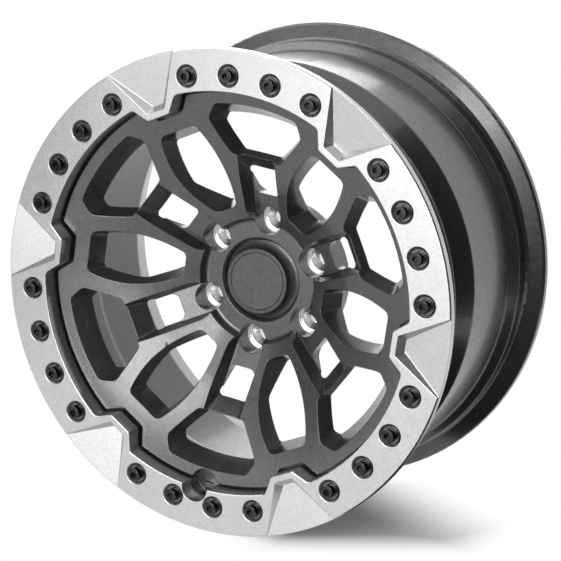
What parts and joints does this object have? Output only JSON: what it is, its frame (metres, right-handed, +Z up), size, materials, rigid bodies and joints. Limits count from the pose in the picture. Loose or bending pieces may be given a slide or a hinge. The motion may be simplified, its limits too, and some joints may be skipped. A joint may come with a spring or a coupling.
{
  "type": "wheel",
  "caption": "Forged beadlock wheel with branching spokes, a bolted outer ring, a plain centre cap and a deep barrel for an off-road tyre.",
  "frame": {"origin": "centre of the face that meets the vehicle's hub, on the wheel's axis", "axes": "+Y along the spin axis, inboard, so the outboard face looks to -Y; +Z up; the valve is near the bottom, turned 8.68 degrees clockwise as seen from the front"},
  "size_m": [0.4712, 0.2531, 0.4712],
  "materials": {
    "dark_metal": "satin anthracite",
    "silver_metal": "satin silver",
    "black_steel": "gloss black",
    "cap_plastic": "satin",
    "badge_plastic": "satin",
    "bare_steel": "bright"
  },
  "bodies": {
    "root": {"wheel": "dark_metal", "beadlock_ring": "silver_metal", "ring_bolts": "black_steel", "ring_washers": "black_steel", "centre_cap": "cap_plastic", "cap_badge": "badge_plastic", "cap_wire": "bare_steel"}
  },
  "joints": []
}
